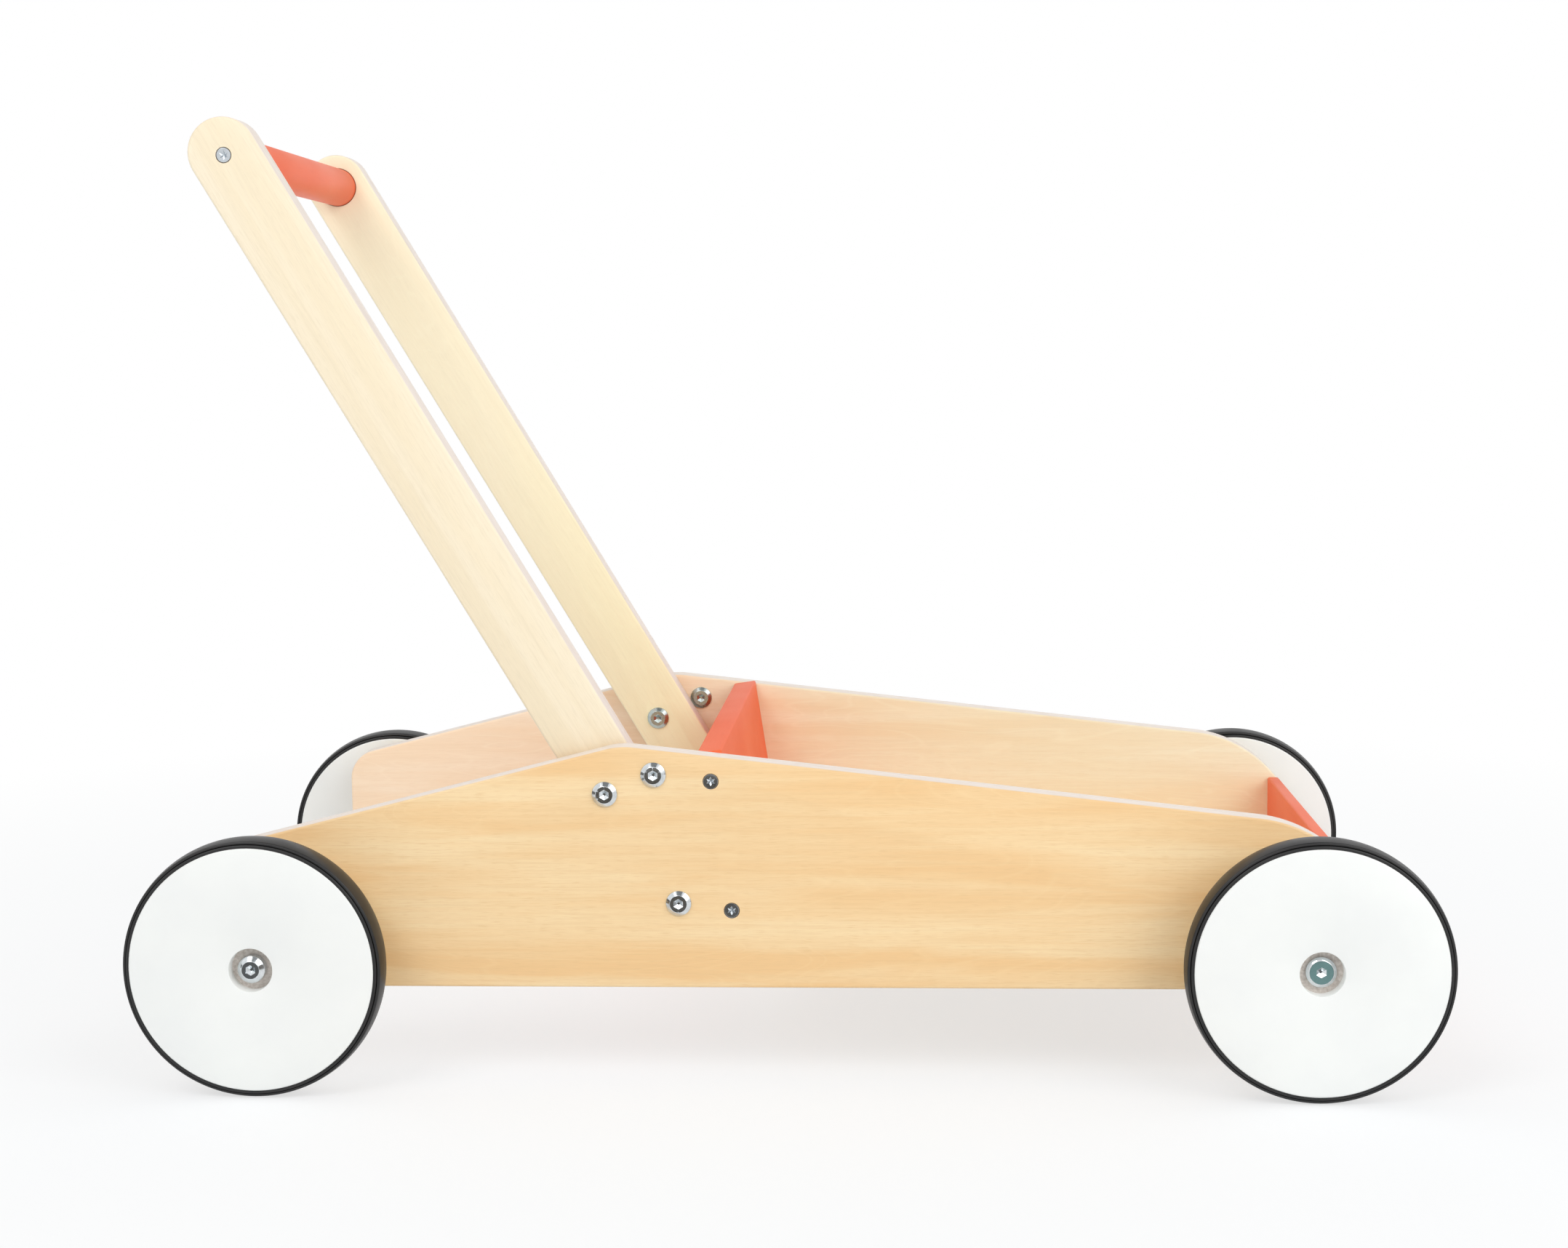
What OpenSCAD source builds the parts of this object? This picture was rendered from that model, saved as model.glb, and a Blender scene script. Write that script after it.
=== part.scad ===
// Baby push walker: a toy tray on four wheels with a tilting push handle.
// Millimetres. +X is forward, +Y is the left side, +Z is up.
// The origin is on the ground, under the middle of the walker.

/* [Overall] */
// Width over the outer faces of the wheels
overall_w = 320; // [310:1:330]
// Distance between the rear and front axles
wheelbase = 481; // [478:1:486]

/* [Wheels] */
// Outer diameter of the tyre at its crown
tyre_d = 120; // [116:1:122]
// Thickness of the wheel
wheel_t = 16; // [15:0.5:18]
// Height of the tyre over the edge of the disc
tyre_h = 3.7; // [3.2:0.1:4.2]
// Diameter of the counterbore at the hub
hub_recess_d = 20; // [18:0.2:22]
// Depth of the counterbore at the hub
hub_recess_depth = 6; // [5:0.5:7]
// Gap between a wheel and its side panel
wheel_gap = 16; // [12:1:18]

/* [Side panels] */
// Thickness of the plywood
panel_t = 12; // [10:0.5:14]
// Height of the bottom edge over the ground
panel_bottom_z = 44; // [40:1:48]
// Distance from the rear end of a panel back to the rear axle
panel_tail = 19; // [16:1:22]
// Distance from the front end of a panel forward to the front axle
panel_nose = 34.5; // [32:0.5:37]
// Height of the peak of the top edge
peak_z = 157.6; // [156:0.2:160]
// Slope of the top edge behind the peak, in degrees
tail_slope = 14.2; // [13:0.1:15]
// Slope of the top edge in front of the peak, in degrees
nose_slope = 6.6; // [6:0.1:7]
// Radius of the long round nose
nose_r = 65; // [60:1:70]

/* [Tray] */
// Thickness of the back board
back_board_t = 12; // [10:0.5:12]
// Height of the back board, along its face
back_board_h = 85; // [80:1:86]
// Lean of the back board to the rear, in degrees
back_board_lean = 8.4; // [8:0.1:9]
// Thickness of the front board
front_board_t = 6; // [5:0.5:8]
// Height of the front board's top edge
front_board_top_z = 98.5; // [94:0.5:100]
// Thickness of the floor
floor_t = 6; // [5:0.5:7]
// Height of the floor's underside
floor_z = 68; // [67:0.5:69]

/* [Handle] */
// Width of a handle arm
arm_w = 32.4; // [28:0.2:33]
// Thickness of a handle arm
arm_t = 14; // [12:0.5:16]
// Distance from the pivot to the handle bar
arm_len = 400; // [380:1:410]
// Lean of the arms to the rear at rest, in degrees
arm_lean = 30.7; // [30:0.1:32]
// Tilt of the handle between its two lock holes, in degrees
handle_tilt = 23; // [18:0.5:23]
// Diameter of the handle bar
bar_d = 20; // [18:0.5:22]
// Distance from the pivot to each lock hole
lock_r = 61; // [58:1:64]

/* [Hardware] */
// Diameter of the connector bolts' heads
head_d = 11.8; // [11:0.2:12.6]
// Height of the connector bolts' heads
head_h = 2.2; // [1.8:0.1:2.4]
// Outer diameter of the sleeve nuts and axle barrels
barrel_d = 8; // [7.6:0.1:8.4]
// Diameter of the bolts' threads
thread_d = 6; // [5:0.1:6]
// Diameter of the wood screws' heads
screw_head_d = 7.2; // [6.6:0.1:7.6]

/* [Hidden] */
$fn = 96;

RIGHT = -1;
LEFT = 1;
REAR = -1;
FRONT = 1;

plywood = [0.96, 0.84, 0.66];
arm_plywood = [0.98, 0.92, 0.82];
orange = [0.93, 0.44, 0.30];
disc_white = [0.95, 0.95, 0.94];
rubber_black = [0.20, 0.20, 0.21];
zinc = [0.75, 0.77, 0.80];
nylon = [0.88, 0.88, 0.86];

// A gap that lets two pieces slide past each other
play = 0.3;
// Radial clearance of a turning fit, and of a fixed barrel in its hole
turn_fit = 0.05;
hole_fit = 0.1;

// Faces across the width, counted from the middle to the left
wheel_out = overall_w / 2;
wheel_in = wheel_out - wheel_t;
panel_out = wheel_in - wheel_gap;
panel_in = panel_out - panel_t;
arm_gap = 2.6;
arm_out = panel_in - arm_gap;
arm_in = arm_out - arm_t;

// Wheels and axles
axle_x = wheelbase / 2;
axle_z = tyre_d / 2;
disc_r = tyre_d / 2 - tyre_h;
bush_r = 6;
bush_flange_r = 9;
bush_flange_t = 1;
rear_head_d = 12.6;
rear_head_h = 5.7;
rear_head_flat_d = 8.2;
rear_rim_h = 4;
front_head_d = 13.8;
front_head_h = 2.7;
front_head_flat_d = 10.9;
front_rim_h = 1.7;
spacer_d = 20;

// Tyre section: a rib in the disc's groove, a bead at each side and a crowned tread
rib_w = 6;
rib_h = 2;
bead_w = 1.4;
bead_set_back = 0.4;
crease = 0.5;
shoulder_r = tyre_d / 2 - 0.7;
shoulder_set_back = 1.4;
tread_steps = 10;

// Side panel outline, in X and Z
peak_x = -74.6;
tail_x = -axle_x - panel_tail;
nose_x = axle_x + panel_nose;
tail_z = peak_z - (peak_x - tail_x) * tan(tail_slope);
nose_z = peak_z - (nose_x - peak_x) * tan(nose_slope);
tail_r = 16;
toe_r = 10;
peak_r = 30;
// The nose's round never takes up the whole height of the panel's front end
nose_share = 0.945;
nose_r_fit = min(nose_r, nose_share * (nose_z - panel_bottom_z));
panel_corners = [
    [tail_x, panel_bottom_z, tail_r],
    [nose_x, panel_bottom_z, toe_r],
    [nose_x, nose_z, nose_r_fit],
    [peak_x, peak_z, peak_r],
    [tail_x, tail_z, tail_r]
];

// The handle's pivot and its two lock holes, in X and Z
pivot = [-48.2, 84];
rest_hole_angle = 33.2;
function from_pivot(r, angle) = pivot + r * [-sin(angle), cos(angle)];
lock_at = from_pivot(lock_r, rest_hole_angle);
spare_at = from_pivot(lock_r, rest_hole_angle - handle_tilt);
arm_overrun = 1.5;

// The bar's ends sit in shallow sockets in the arms
bar_at = from_pivot(arm_len, arm_lean);
bar_seat = 2;
bar_fit = 0.4;

// Connector bolts: the heads' bevel and hexagon socket, the shanks and the bores
head_rim_h = 0.6;
sleeve_flat = 0.68;
bolt_flat = 0.7;
socket_d = 5;
socket_depth = 1.6;
bolt_shank = 16;
nut_bore = 20;
nut_end_wall = 2;
spare_head_h = 2;
spare_shank = 9;
arm_spacer_d = 16;

// Wood screws: a cone under a thin rim, and a six-pointed recess
screw_d = 4;
screw_grip = 28;
screw_rim_h = 0.3;
screw_cone_h = 2.4;
recess_d = 3.4;
recess_depth = 1.4;

// Back board: its lower screw, and the distance of both screws from its ends
back_screw_low = [-23.7, 80.6];
back_screw_inset = 12;
board_up = [-sin(back_board_lean), cos(back_board_lean)];
back_screw_high = back_screw_low + (back_board_h - 2 * back_screw_inset) * board_up;
board_top_r = 2;
board_foot_r = 0.5;

// Front board and floor
front_board_x = 256.2;
front_board_bottom_z = 50;
cleat = 12;
cleat_from = -8;
cleat_to = 222;

// A convex outline with round corners, from a list of [x, y, radius]
function toward(a, b) = ([b.x, b.y] - [a.x, a.y]) / norm([b.x, b.y] - [a.x, a.y]);
function half_angle(u, v) = acos(u * v) / 2;
function tangent_points(a, b, c) =
    let (u = toward(b, a), v = toward(b, c), t = b.z / tan(half_angle(u, v)))
    [[b.x, b.y] + t * u, [b.x, b.y] + t * v];
function corner_centre(a, b, c) =
    let (u = toward(b, a), v = toward(b, c))
    [b.x, b.y] + (u + v) / norm(u + v) * b.z / sin(half_angle(u, v));
function before(list, i) = list[(i + len(list) - 1) % len(list)];
function after(list, i) = list[(i + 1) % len(list)];

module round_outline(corners) {
    polygon([
        for (i = [0 : len(corners) - 1])
            each tangent_points(before(corners, i), corners[i], after(corners, i))
    ]);
    for (i = [0 : len(corners) - 1]) {
        corner = corners[i];
        centre = corner_centre(before(corners, i), corner, after(corners, i));
        tangents = tangent_points(before(corners, i), corner, after(corners, i));
        intersection() {
            translate(centre)
                circle(r = corner.z);
            polygon([centre, tangents[0], [corner.x, corner.y], tangents[1]]);
        }
    }
}

// Extrudes an outline drawn in X and Z over a stretch of Y
module across(y_from, y_to) {
    translate([0, y_to, 0])
        rotate([90, 0, 0])
            linear_extrude(y_to - y_from)
                children();
}

// Stands a piece that is drawn along Z at a place on the left side, pointing outward
module outward(at, y) {
    translate([at.x, y, at.y])
        rotate([-90, 0, 0])
            children();
}

module inward(at, y) {
    translate([at.x, y, at.y])
        rotate([90, 0, 0])
            children();
}

// Draws a piece of the left side on the side that is asked for
module on_side(side) {
    if (side == LEFT)
        children();
    else
        mirror([0, 1, 0])
            children();
}

module on_both_sides() {
    for (side = [RIGHT, LEFT])
        on_side(side)
            children();
}

// A round hole across the panel or the arm
module hole(at, r, y_from, y_to) {
    outward(at, y_from)
        cylinder(r = r, h = y_to - y_from);
}

// A bevelled bolt head with a hexagon socket, standing on z = 0
module bolt_head(d, h, flat_d, rim_h) {
    difference() {
        rotate_extrude()
            polygon([[0, 0], [d / 2, 0], [d / 2, rim_h], [flat_d / 2, h], [0, h]]);
        translate([0, 0, h - socket_depth])
            cylinder(d = socket_d, h = socket_depth + 1, $fn = 6);
    }
}

// The head of a sleeve nut with its threaded barrel below
module sleeve_nut(barrel_len, bore_len) {
    difference() {
        union() {
            children();
            translate([0, 0, -barrel_len])
                cylinder(d = barrel_d, h = barrel_len);
        }
        translate([0, 0, -barrel_len - 1])
            cylinder(d = thread_d, h = bore_len + 1);
    }
}

module connector_head(flat = sleeve_flat, h = head_h) {
    bolt_head(head_d, h, flat * head_d, head_rim_h);
}

module bolt(shank_len, h = head_h) {
    connector_head(bolt_flat, h);
    translate([0, 0, -shank_len])
        cylinder(d = thread_d, h = shank_len);
}

// A countersunk wood screw, its head flush with z = 0
module wood_screw(len) {
    head_r = screw_head_d / 2;
    shank_r = screw_d / 2;
    difference() {
        rotate_extrude()
            polygon([
                [0, 0], [head_r, 0], [head_r, -screw_rim_h], [shank_r, -screw_cone_h],
                [shank_r, -len + screw_d], [0, -len]
            ]);
        for (turn = [0, 30])
            rotate([0, 0, turn])
                translate([0, 0, -recess_depth])
                    cylinder(d = recess_d, h = recess_depth + 1, $fn = 6);
    }
}

module screw_hole(len) {
    head_r = screw_head_d / 2 + hole_fit;
    shank_r = screw_d / 2 + hole_fit;
    rotate_extrude()
        polygon([
            [0, 1], [head_r, 1], [head_r, -screw_rim_h], [shank_r, -screw_cone_h - hole_fit],
            [shank_r, -len], [0, -len]
        ]);
}

// Side panels
module side_panel(side) {
    color(plywood)
        on_side(side)
            difference() {
                across(panel_in, panel_out)
                    round_outline(panel_corners);
                for (at = [[-axle_x, axle_z], [axle_x, axle_z], pivot, lock_at, spare_at])
                    hole(at, barrel_d / 2 + hole_fit, panel_in - 1, panel_out + 1);
                for (at = [back_screw_low, back_screw_high])
                    outward(at, panel_out)
                        screw_hole(panel_t + 1);
            }
}

module right_side_panel() { side_panel(RIGHT); }
module left_side_panel() { side_panel(LEFT); }

// Tray: a floor on two cleats between a leaning back board and an upright front board
module floor_panel() {
    rear_x = function (z) back_screw_low.x - (z - back_screw_low.y) * tan(back_board_lean)
        + back_board_t / 2 / cos(back_board_lean);
    color(plywood)
        across(-panel_in, panel_in)
            polygon([
                [rear_x(floor_z), floor_z], [front_board_x, floor_z],
                [front_board_x, floor_z + floor_t], [rear_x(floor_z + floor_t), floor_z + floor_t]
            ]);
}

module floor_cleats() {
    color(plywood)
        on_both_sides()
            translate([cleat_from, panel_in - cleat, floor_z - cleat])
                cube([cleat_to - cleat_from, cleat, cleat]);
}

module back_board() {
    half_t = back_board_t / 2;
    low = -back_screw_inset;
    high = back_board_h - back_screw_inset;
    color(orange)
        difference() {
            translate([back_screw_low.x, 0, back_screw_low.y])
                rotate([0, -back_board_lean, 0])
                    across(-panel_in, panel_in)
                        round_outline([
                            [-half_t, low, board_foot_r], [half_t, low, board_foot_r],
                            [half_t, high, board_top_r], [-half_t, high, board_top_r]
                        ]);
            on_both_sides()
                for (at = [back_screw_low, back_screw_high])
                    hole(at, screw_d / 2 + hole_fit, panel_in - screw_grip - 1, panel_in + 1);
        }
}

module front_board() {
    color(orange)
        across(-panel_in, panel_in)
            round_outline([
                [front_board_x, front_board_bottom_z, board_foot_r],
                [front_board_x + front_board_t, front_board_bottom_z, board_foot_r],
                [front_board_x + front_board_t, front_board_top_z, board_top_r],
                [front_board_x, front_board_top_z, board_top_r]
            ]);
}

module back_board_screws() {
    color(zinc)
        on_both_sides()
            for (at = [back_screw_low, back_screw_high])
                outward(at, panel_out)
                    wood_screw(panel_t + screw_grip);
}

// Wheels, drawn with the inner face at z = 0
function groove_from() = (wheel_t - rib_w) / 2;
function groove_to() = (wheel_t + rib_w) / 2;

module wheel_disc(side, end) {
    edge = 1;
    lip = 0.6;
    recess_r = hub_recess_d / 2;
    floor_at = wheel_t - hub_recess_depth;
    color(disc_white)
        on_side(side)
            outward([end * axle_x, axle_z], wheel_in)
                rotate_extrude()
                    polygon([
                        [bush_r, 0], [disc_r - edge, 0], [disc_r, edge],
                        [disc_r, groove_from()], [disc_r - rib_h, groove_from()],
                        [disc_r - rib_h, groove_to()], [disc_r, groove_to()],
                        [disc_r, wheel_t - edge], [disc_r - edge, wheel_t],
                        [recess_r + lip, wheel_t], [recess_r, wheel_t - lip],
                        [recess_r, floor_at], [bush_r, floor_at]
                    ]);
}

// The tread's radius at a height across the tyre, on a round crown
function tread_radius(z) =
    let (
        half = wheel_t / 2 - shoulder_set_back,
        rise = tyre_d / 2 - shoulder_r,
        r = (half * half + rise * rise) / (2 * rise)
    )
    tyre_d / 2 - r + sqrt(r * r - (z - wheel_t / 2) * (z - wheel_t / 2));

module tyre(side, end) {
    tread_from = shoulder_set_back;
    tread_step = (wheel_t - 2 * shoulder_set_back) / tread_steps;
    bead_r = disc_r + bead_w;
    outer = wheel_t - bead_set_back;
    color(rubber_black)
        on_side(side)
            outward([end * axle_x, axle_z], wheel_in)
                rotate_extrude()
                    polygon(concat(
                        [
                            [disc_r, bead_set_back], [bead_r, bead_set_back],
                            [bead_r + crease / 2, bead_set_back + crease],
                            [shoulder_r - crease, bead_set_back + crease]
                        ],
                        [
                            for (i = [0 : tread_steps])
                                let (z = tread_from + i * tread_step)
                                [tread_radius(z), z]
                        ],
                        [
                            [shoulder_r - crease, outer - crease],
                            [bead_r + crease / 2, outer - crease], [bead_r, outer],
                            [disc_r, outer], [disc_r, groove_to()], [disc_r - rib_h, groove_to()],
                            [disc_r - rib_h, groove_from()], [disc_r, groove_from()]
                        ]
                    ));
}

module wheel_bush(side, end) {
    bore_r = barrel_d / 2 + turn_fit;
    color(nylon)
        on_side(side)
            outward([end * axle_x, axle_z], wheel_in)
                rotate_extrude()
                    polygon([
                        [bore_r, -bush_flange_t], [bush_flange_r, -bush_flange_t], [bush_flange_r, 0],
                        [bush_r, 0], [bush_r, wheel_t - hub_recess_depth],
                        [bore_r, wheel_t - hub_recess_depth]
                    ]);
}

// Axles: a barrel through the wheel, the spacer and the panel, with a nut inside
module axle_bolt(side, end) {
    head_at = wheel_out - hub_recess_depth + play;
    color(zinc)
        on_side(side)
            outward([end * axle_x, axle_z], head_at)
                sleeve_nut(barrel_len = head_at - panel_in - play, bore_len = nut_bore) {
                    if (end == REAR)
                        bolt_head(rear_head_d, rear_head_h, rear_head_flat_d, rear_rim_h);
                    else
                        bolt_head(front_head_d, front_head_h, front_head_flat_d, front_rim_h);
                }
}

module axle_nuts() {
    color(zinc)
        on_both_sides()
            for (end = [REAR, FRONT])
                inward([end * axle_x, axle_z], panel_in)
                    bolt(bolt_shank);
}

module wheel_spacers() {
    color(nylon)
        on_both_sides()
            for (end = [REAR, FRONT])
                outward([end * axle_x, axle_z], panel_out)
                    difference() {
                        cylinder(d = spacer_d, h = wheel_gap - bush_flange_t - play);
                        translate([0, 0, -1])
                            cylinder(d = barrel_d + 2 * hole_fit, h = wheel_gap);
                    }
}

module rear_right_wheel_disc() { wheel_disc(RIGHT, REAR); }
module rear_left_wheel_disc() { wheel_disc(LEFT, REAR); }
module front_right_wheel_disc() { wheel_disc(RIGHT, FRONT); }
module front_left_wheel_disc() { wheel_disc(LEFT, FRONT); }
module rear_right_tyre() { tyre(RIGHT, REAR); }
module rear_left_tyre() { tyre(LEFT, REAR); }
module front_right_tyre() { tyre(RIGHT, FRONT); }
module front_left_tyre() { tyre(LEFT, FRONT); }
module rear_right_wheel_bush() { wheel_bush(RIGHT, REAR); }
module rear_left_wheel_bush() { wheel_bush(LEFT, REAR); }
module front_right_wheel_bush() { wheel_bush(RIGHT, FRONT); }
module front_left_wheel_bush() { wheel_bush(LEFT, FRONT); }
module rear_right_axle_bolt() { axle_bolt(RIGHT, REAR); }
module rear_left_axle_bolt() { axle_bolt(LEFT, REAR); }
module front_right_axle_bolt() { axle_bolt(RIGHT, FRONT); }
module front_left_axle_bolt() { axle_bolt(LEFT, FRONT); }

// Handle: two arms with round ends, and a bar between them
module handle_arm(side) {
    arm_top = from_pivot(arm_len + arm_overrun, arm_lean);
    color(arm_plywood)
        on_side(side)
            difference() {
                across(arm_in, arm_out) {
                    for (at = [pivot, arm_top])
                        translate(at)
                            circle(d = arm_w);
                    translate(pivot)
                        rotate(arm_lean)
                            translate([-arm_w / 2, 0])
                                square([arm_w, arm_len + arm_overrun]);
                }
                hole(pivot, barrel_d / 2 + turn_fit, arm_in - 1, arm_out + 1);
                hole(lock_at, thread_d / 2 + hole_fit, arm_in - 1, arm_out + 1);
                hole(bar_at, bar_d / 2 + bar_fit, arm_in - 1, arm_in + bar_seat);
                outward(bar_at, arm_out)
                    screw_hole(arm_t + 1);
            }
}

module right_handle_arm() { handle_arm(RIGHT); }
module left_handle_arm() { handle_arm(LEFT); }

module handle_bar() {
    bar_end = arm_in + bar_seat;
    color(orange)
        difference() {
            outward(bar_at, -bar_end)
                cylinder(d = bar_d, h = 2 * bar_end);
            on_both_sides()
                hole(bar_at, screw_d / 2 + hole_fit, arm_in - screw_grip - 1, bar_end + 1);
        }
}

module handle_bar_screws() {
    color(zinc)
        on_both_sides()
            outward(bar_at, arm_out)
                wood_screw(arm_t + screw_grip);
}

// Pivots: a long sleeve nut from outside, which the arm turns on, and a bolt from inside
module pivot_sleeve_nuts() {
    color(zinc)
        on_both_sides()
            outward(pivot, panel_out)
                sleeve_nut(barrel_len = panel_out - arm_in, bore_len = nut_bore)
                    connector_head();
}

module pivot_bolts() {
    color(zinc)
        on_both_sides()
            inward(pivot, arm_in - play)
                bolt(bolt_shank);
}

module arm_spacers() {
    spacer_t = arm_gap - hole_fit;
    color(nylon)
        on_both_sides()
            inward(pivot, panel_in)
                difference() {
                    cylinder(d = arm_spacer_d, h = spacer_t);
                    translate([0, 0, -1])
                        cylinder(d = barrel_d + 2 * hole_fit, h = spacer_t + 2);
                }
}

// Locks: the rest position's bolt goes through the arm, and a spare bolt plugs the other hole
module lock_sleeve_nuts() {
    color(zinc)
        on_both_sides()
            outward(lock_at, panel_out)
                sleeve_nut(barrel_len = panel_t - play, bore_len = panel_t - nut_end_wall)
                    connector_head();
}

module lock_bolts() {
    color(zinc)
        on_both_sides()
            inward(lock_at, arm_in)
                bolt(arm_t);
}

module spare_sleeve_nuts() {
    color(zinc)
        on_both_sides()
            outward(spare_at, panel_out)
                sleeve_nut(barrel_len = panel_t - play, bore_len = panel_t - nut_end_wall)
                    connector_head();
}

module spare_bolts() {
    color(zinc)
        on_both_sides()
            inward(spare_at, panel_in)
                bolt(spare_shank, spare_head_h);
}

right_side_panel();
left_side_panel();
floor_panel();
floor_cleats();
back_board();
front_board();
back_board_screws();
rear_right_wheel_disc();
rear_left_wheel_disc();
front_right_wheel_disc();
front_left_wheel_disc();
rear_right_tyre();
rear_left_tyre();
front_right_tyre();
front_left_tyre();
rear_right_wheel_bush();
rear_left_wheel_bush();
front_right_wheel_bush();
front_left_wheel_bush();
rear_right_axle_bolt();
rear_left_axle_bolt();
front_right_axle_bolt();
front_left_axle_bolt();
axle_nuts();
wheel_spacers();
right_handle_arm();
left_handle_arm();
handle_bar();
handle_bar_screws();
pivot_sleeve_nuts();
pivot_bolts();
arm_spacers();
lock_sleeve_nuts();
lock_bolts();
spare_sleeve_nuts();
spare_bolts();
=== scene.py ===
import math

import bmesh
import bpy
from mathutils import Matrix, Vector


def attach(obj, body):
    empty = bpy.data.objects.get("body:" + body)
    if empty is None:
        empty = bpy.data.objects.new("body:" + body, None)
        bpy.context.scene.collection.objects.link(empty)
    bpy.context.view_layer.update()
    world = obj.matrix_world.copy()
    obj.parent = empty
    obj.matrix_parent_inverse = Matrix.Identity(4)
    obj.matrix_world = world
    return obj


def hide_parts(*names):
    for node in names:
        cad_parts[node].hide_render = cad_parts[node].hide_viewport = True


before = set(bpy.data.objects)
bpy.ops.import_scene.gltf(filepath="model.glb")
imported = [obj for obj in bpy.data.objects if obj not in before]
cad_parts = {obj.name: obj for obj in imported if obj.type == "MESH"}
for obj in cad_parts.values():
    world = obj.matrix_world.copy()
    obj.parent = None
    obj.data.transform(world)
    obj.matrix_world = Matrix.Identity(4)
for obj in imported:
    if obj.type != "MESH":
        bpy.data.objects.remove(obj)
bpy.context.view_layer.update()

# Side panels
# Two boards of birch plywood, twelve millimetres thick, sawn to one outline with a low peak and
# a long round nose. The edges are rounded over, and the bolt holes are drilled straight through.
panel_inner_y = 0.116
panel_outer_y = 0.128
panel_bottom = 0.044
tail_x = -0.2595
nose_x = 0.275
peak_x = -0.0746
peak_z = 0.1576
tail_slope = math.radians(14.2)
nose_slope = math.radians(6.6)
tail_round = 0.016
nose_round = 0.065
nose_low_round = 0.010
peak_round = 0.030
panel_edge_round = 0.0013
edge_segments = 3
axle_x = 0.2405
axle_z = 0.060
pivot_at = (-0.0482, 0.084)
lock_reach = 0.061
lock_lean = 33.2
spare_lean = 10.2
board_lean = math.radians(8.4)
board_screw_low = (-0.0237, 0.0806)
board_screw_gap = 0.061
barrel_hole = 0.0041
screw_pocket = 0.0037
screw_pocket_depth = 0.0026
drill_sides = 40
drill_over = 0.001
same_place = 0.0002
same_face = 1e-5
sliver = 2e-6


def from_pivot(distance, lean):
    """A place in X and Z, so far from the handle's pivot, leaning so many degrees to the rear."""
    angle = math.radians(lean)
    return (pivot_at[0] - distance * math.sin(angle), pivot_at[1] + distance * math.cos(angle))


def pick(piece):
    """Makes one piece the only selected one, and the active one."""
    bpy.ops.object.select_all(action="DESELECT")
    piece.select_set(True)
    bpy.context.view_layer.objects.active = piece


def settle(name):
    """Names the active piece, and takes its place and size into its mesh."""
    piece = bpy.context.object
    piece.name = name
    piece.data.name = name
    bpy.ops.object.transform_apply(location=True, rotation=True, scale=True)
    return piece


def add_block(name, middle, size, lean=0.0):
    """Adds a sawn block that leans to the rear."""
    bpy.ops.object.select_all(action="DESELECT")
    bpy.ops.mesh.primitive_cube_add(size=1, location=middle, rotation=(0, -lean, 0), scale=size)
    return settle(name)


def add_rod(name, place, radius, y_from, y_to, sides):
    """Adds a round or many-sided rod that lies across the walker."""
    bpy.ops.object.select_all(action="DESELECT")
    bpy.ops.mesh.primitive_cylinder_add(
        vertices=sides, radius=radius, depth=abs(y_to - y_from),
        location=(place[0], (y_from + y_to) / 2, place[1]), rotation=(math.pi / 2, 0, 0),
    )
    return settle(name)


def open_mesh(piece):
    """Opens one piece in edit mode with nothing selected in it."""
    pick(piece)
    bpy.ops.object.mode_set(mode="EDIT")
    bpy.ops.mesh.select_mode(type="EDGE")
    bpy.ops.mesh.select_all(action="DESELECT")
    return bmesh.from_edit_mesh(piece.data)


def close_mesh():
    bpy.ops.object.mode_set(mode="OBJECT")


def saw(piece, point, normal):
    """Saws off what lies beyond a plane and closes the cut."""
    open_mesh(piece)
    bpy.ops.mesh.select_all(action="SELECT")
    bpy.ops.mesh.bisect(plane_co=point, plane_no=normal, use_fill=True, clear_outer=True)
    close_mesh()


def select_edges(piece, wanted):
    """Opens a piece and selects the edges whose two ends pass the test."""
    mesh = open_mesh(piece)
    for edge in mesh.edges:
        if wanted(edge.verts[0].co, edge.verts[1].co):
            edge.select_set(True)
    bmesh.update_edit_mesh(piece.data)


def round_edges(piece, wanted, width, segments):
    """Rounds the edges whose two ends pass the test."""
    select_edges(piece, wanted)
    bpy.ops.mesh.bevel(
        offset=width, segments=segments, profile=0.5, affect="EDGES", clamp_overlap=True
    )
    close_mesh()


def runs_across_at(x, z):
    """A test for the edges that run across the walker through one place in X and Z."""
    def test(a, b):
        near = max(abs(a.x - x), abs(b.x - x), abs(a.z - z), abs(b.z - z))
        return near < same_place
    return test


def lies_in_side_face(y_faces):
    """A test for the edges that lie in one of the flat side faces at these places in Y."""
    def test(a, b):
        return any(abs(a.y - y) < same_face and abs(b.y - y) < same_face for y in y_faces)
    return test


def corner_reach(before, corner, after, radius):
    """How far a round corner reaches along each of the two edges that it joins."""
    one_way = Vector(before) - Vector(corner)
    other_way = Vector(after) - Vector(corner)
    return radius / math.tan(one_way.angle(other_way) / 2)


def apply_modifier(piece, kind, **settings):
    """Changes a piece's mesh by one modifier."""
    modifier = piece.modifiers.new("change", kind)
    for key, value in settings.items():
        setattr(modifier, key, value)
    bpy.context.view_layer.objects.active = piece
    bpy.ops.object.modifier_apply(modifier=modifier.name)


def cut_away(piece, cutter):
    """Cuts one piece with another, which is used up, and clears the slivers of the cut."""
    apply_modifier(piece, "BOOLEAN", operation="DIFFERENCE", solver="EXACT", object=cutter)
    bpy.data.objects.remove(cutter, do_unlink=True)
    open_mesh(piece)
    bpy.ops.mesh.select_all(action="SELECT")
    bpy.ops.mesh.dissolve_degenerate(threshold=sliver)
    close_mesh()


def drill(piece, place, radius, y_from, y_to):
    """Drills a round hole across the walker."""
    cut_away(piece, add_rod("drill", place, radius, y_from, y_to, drill_sides))


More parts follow.
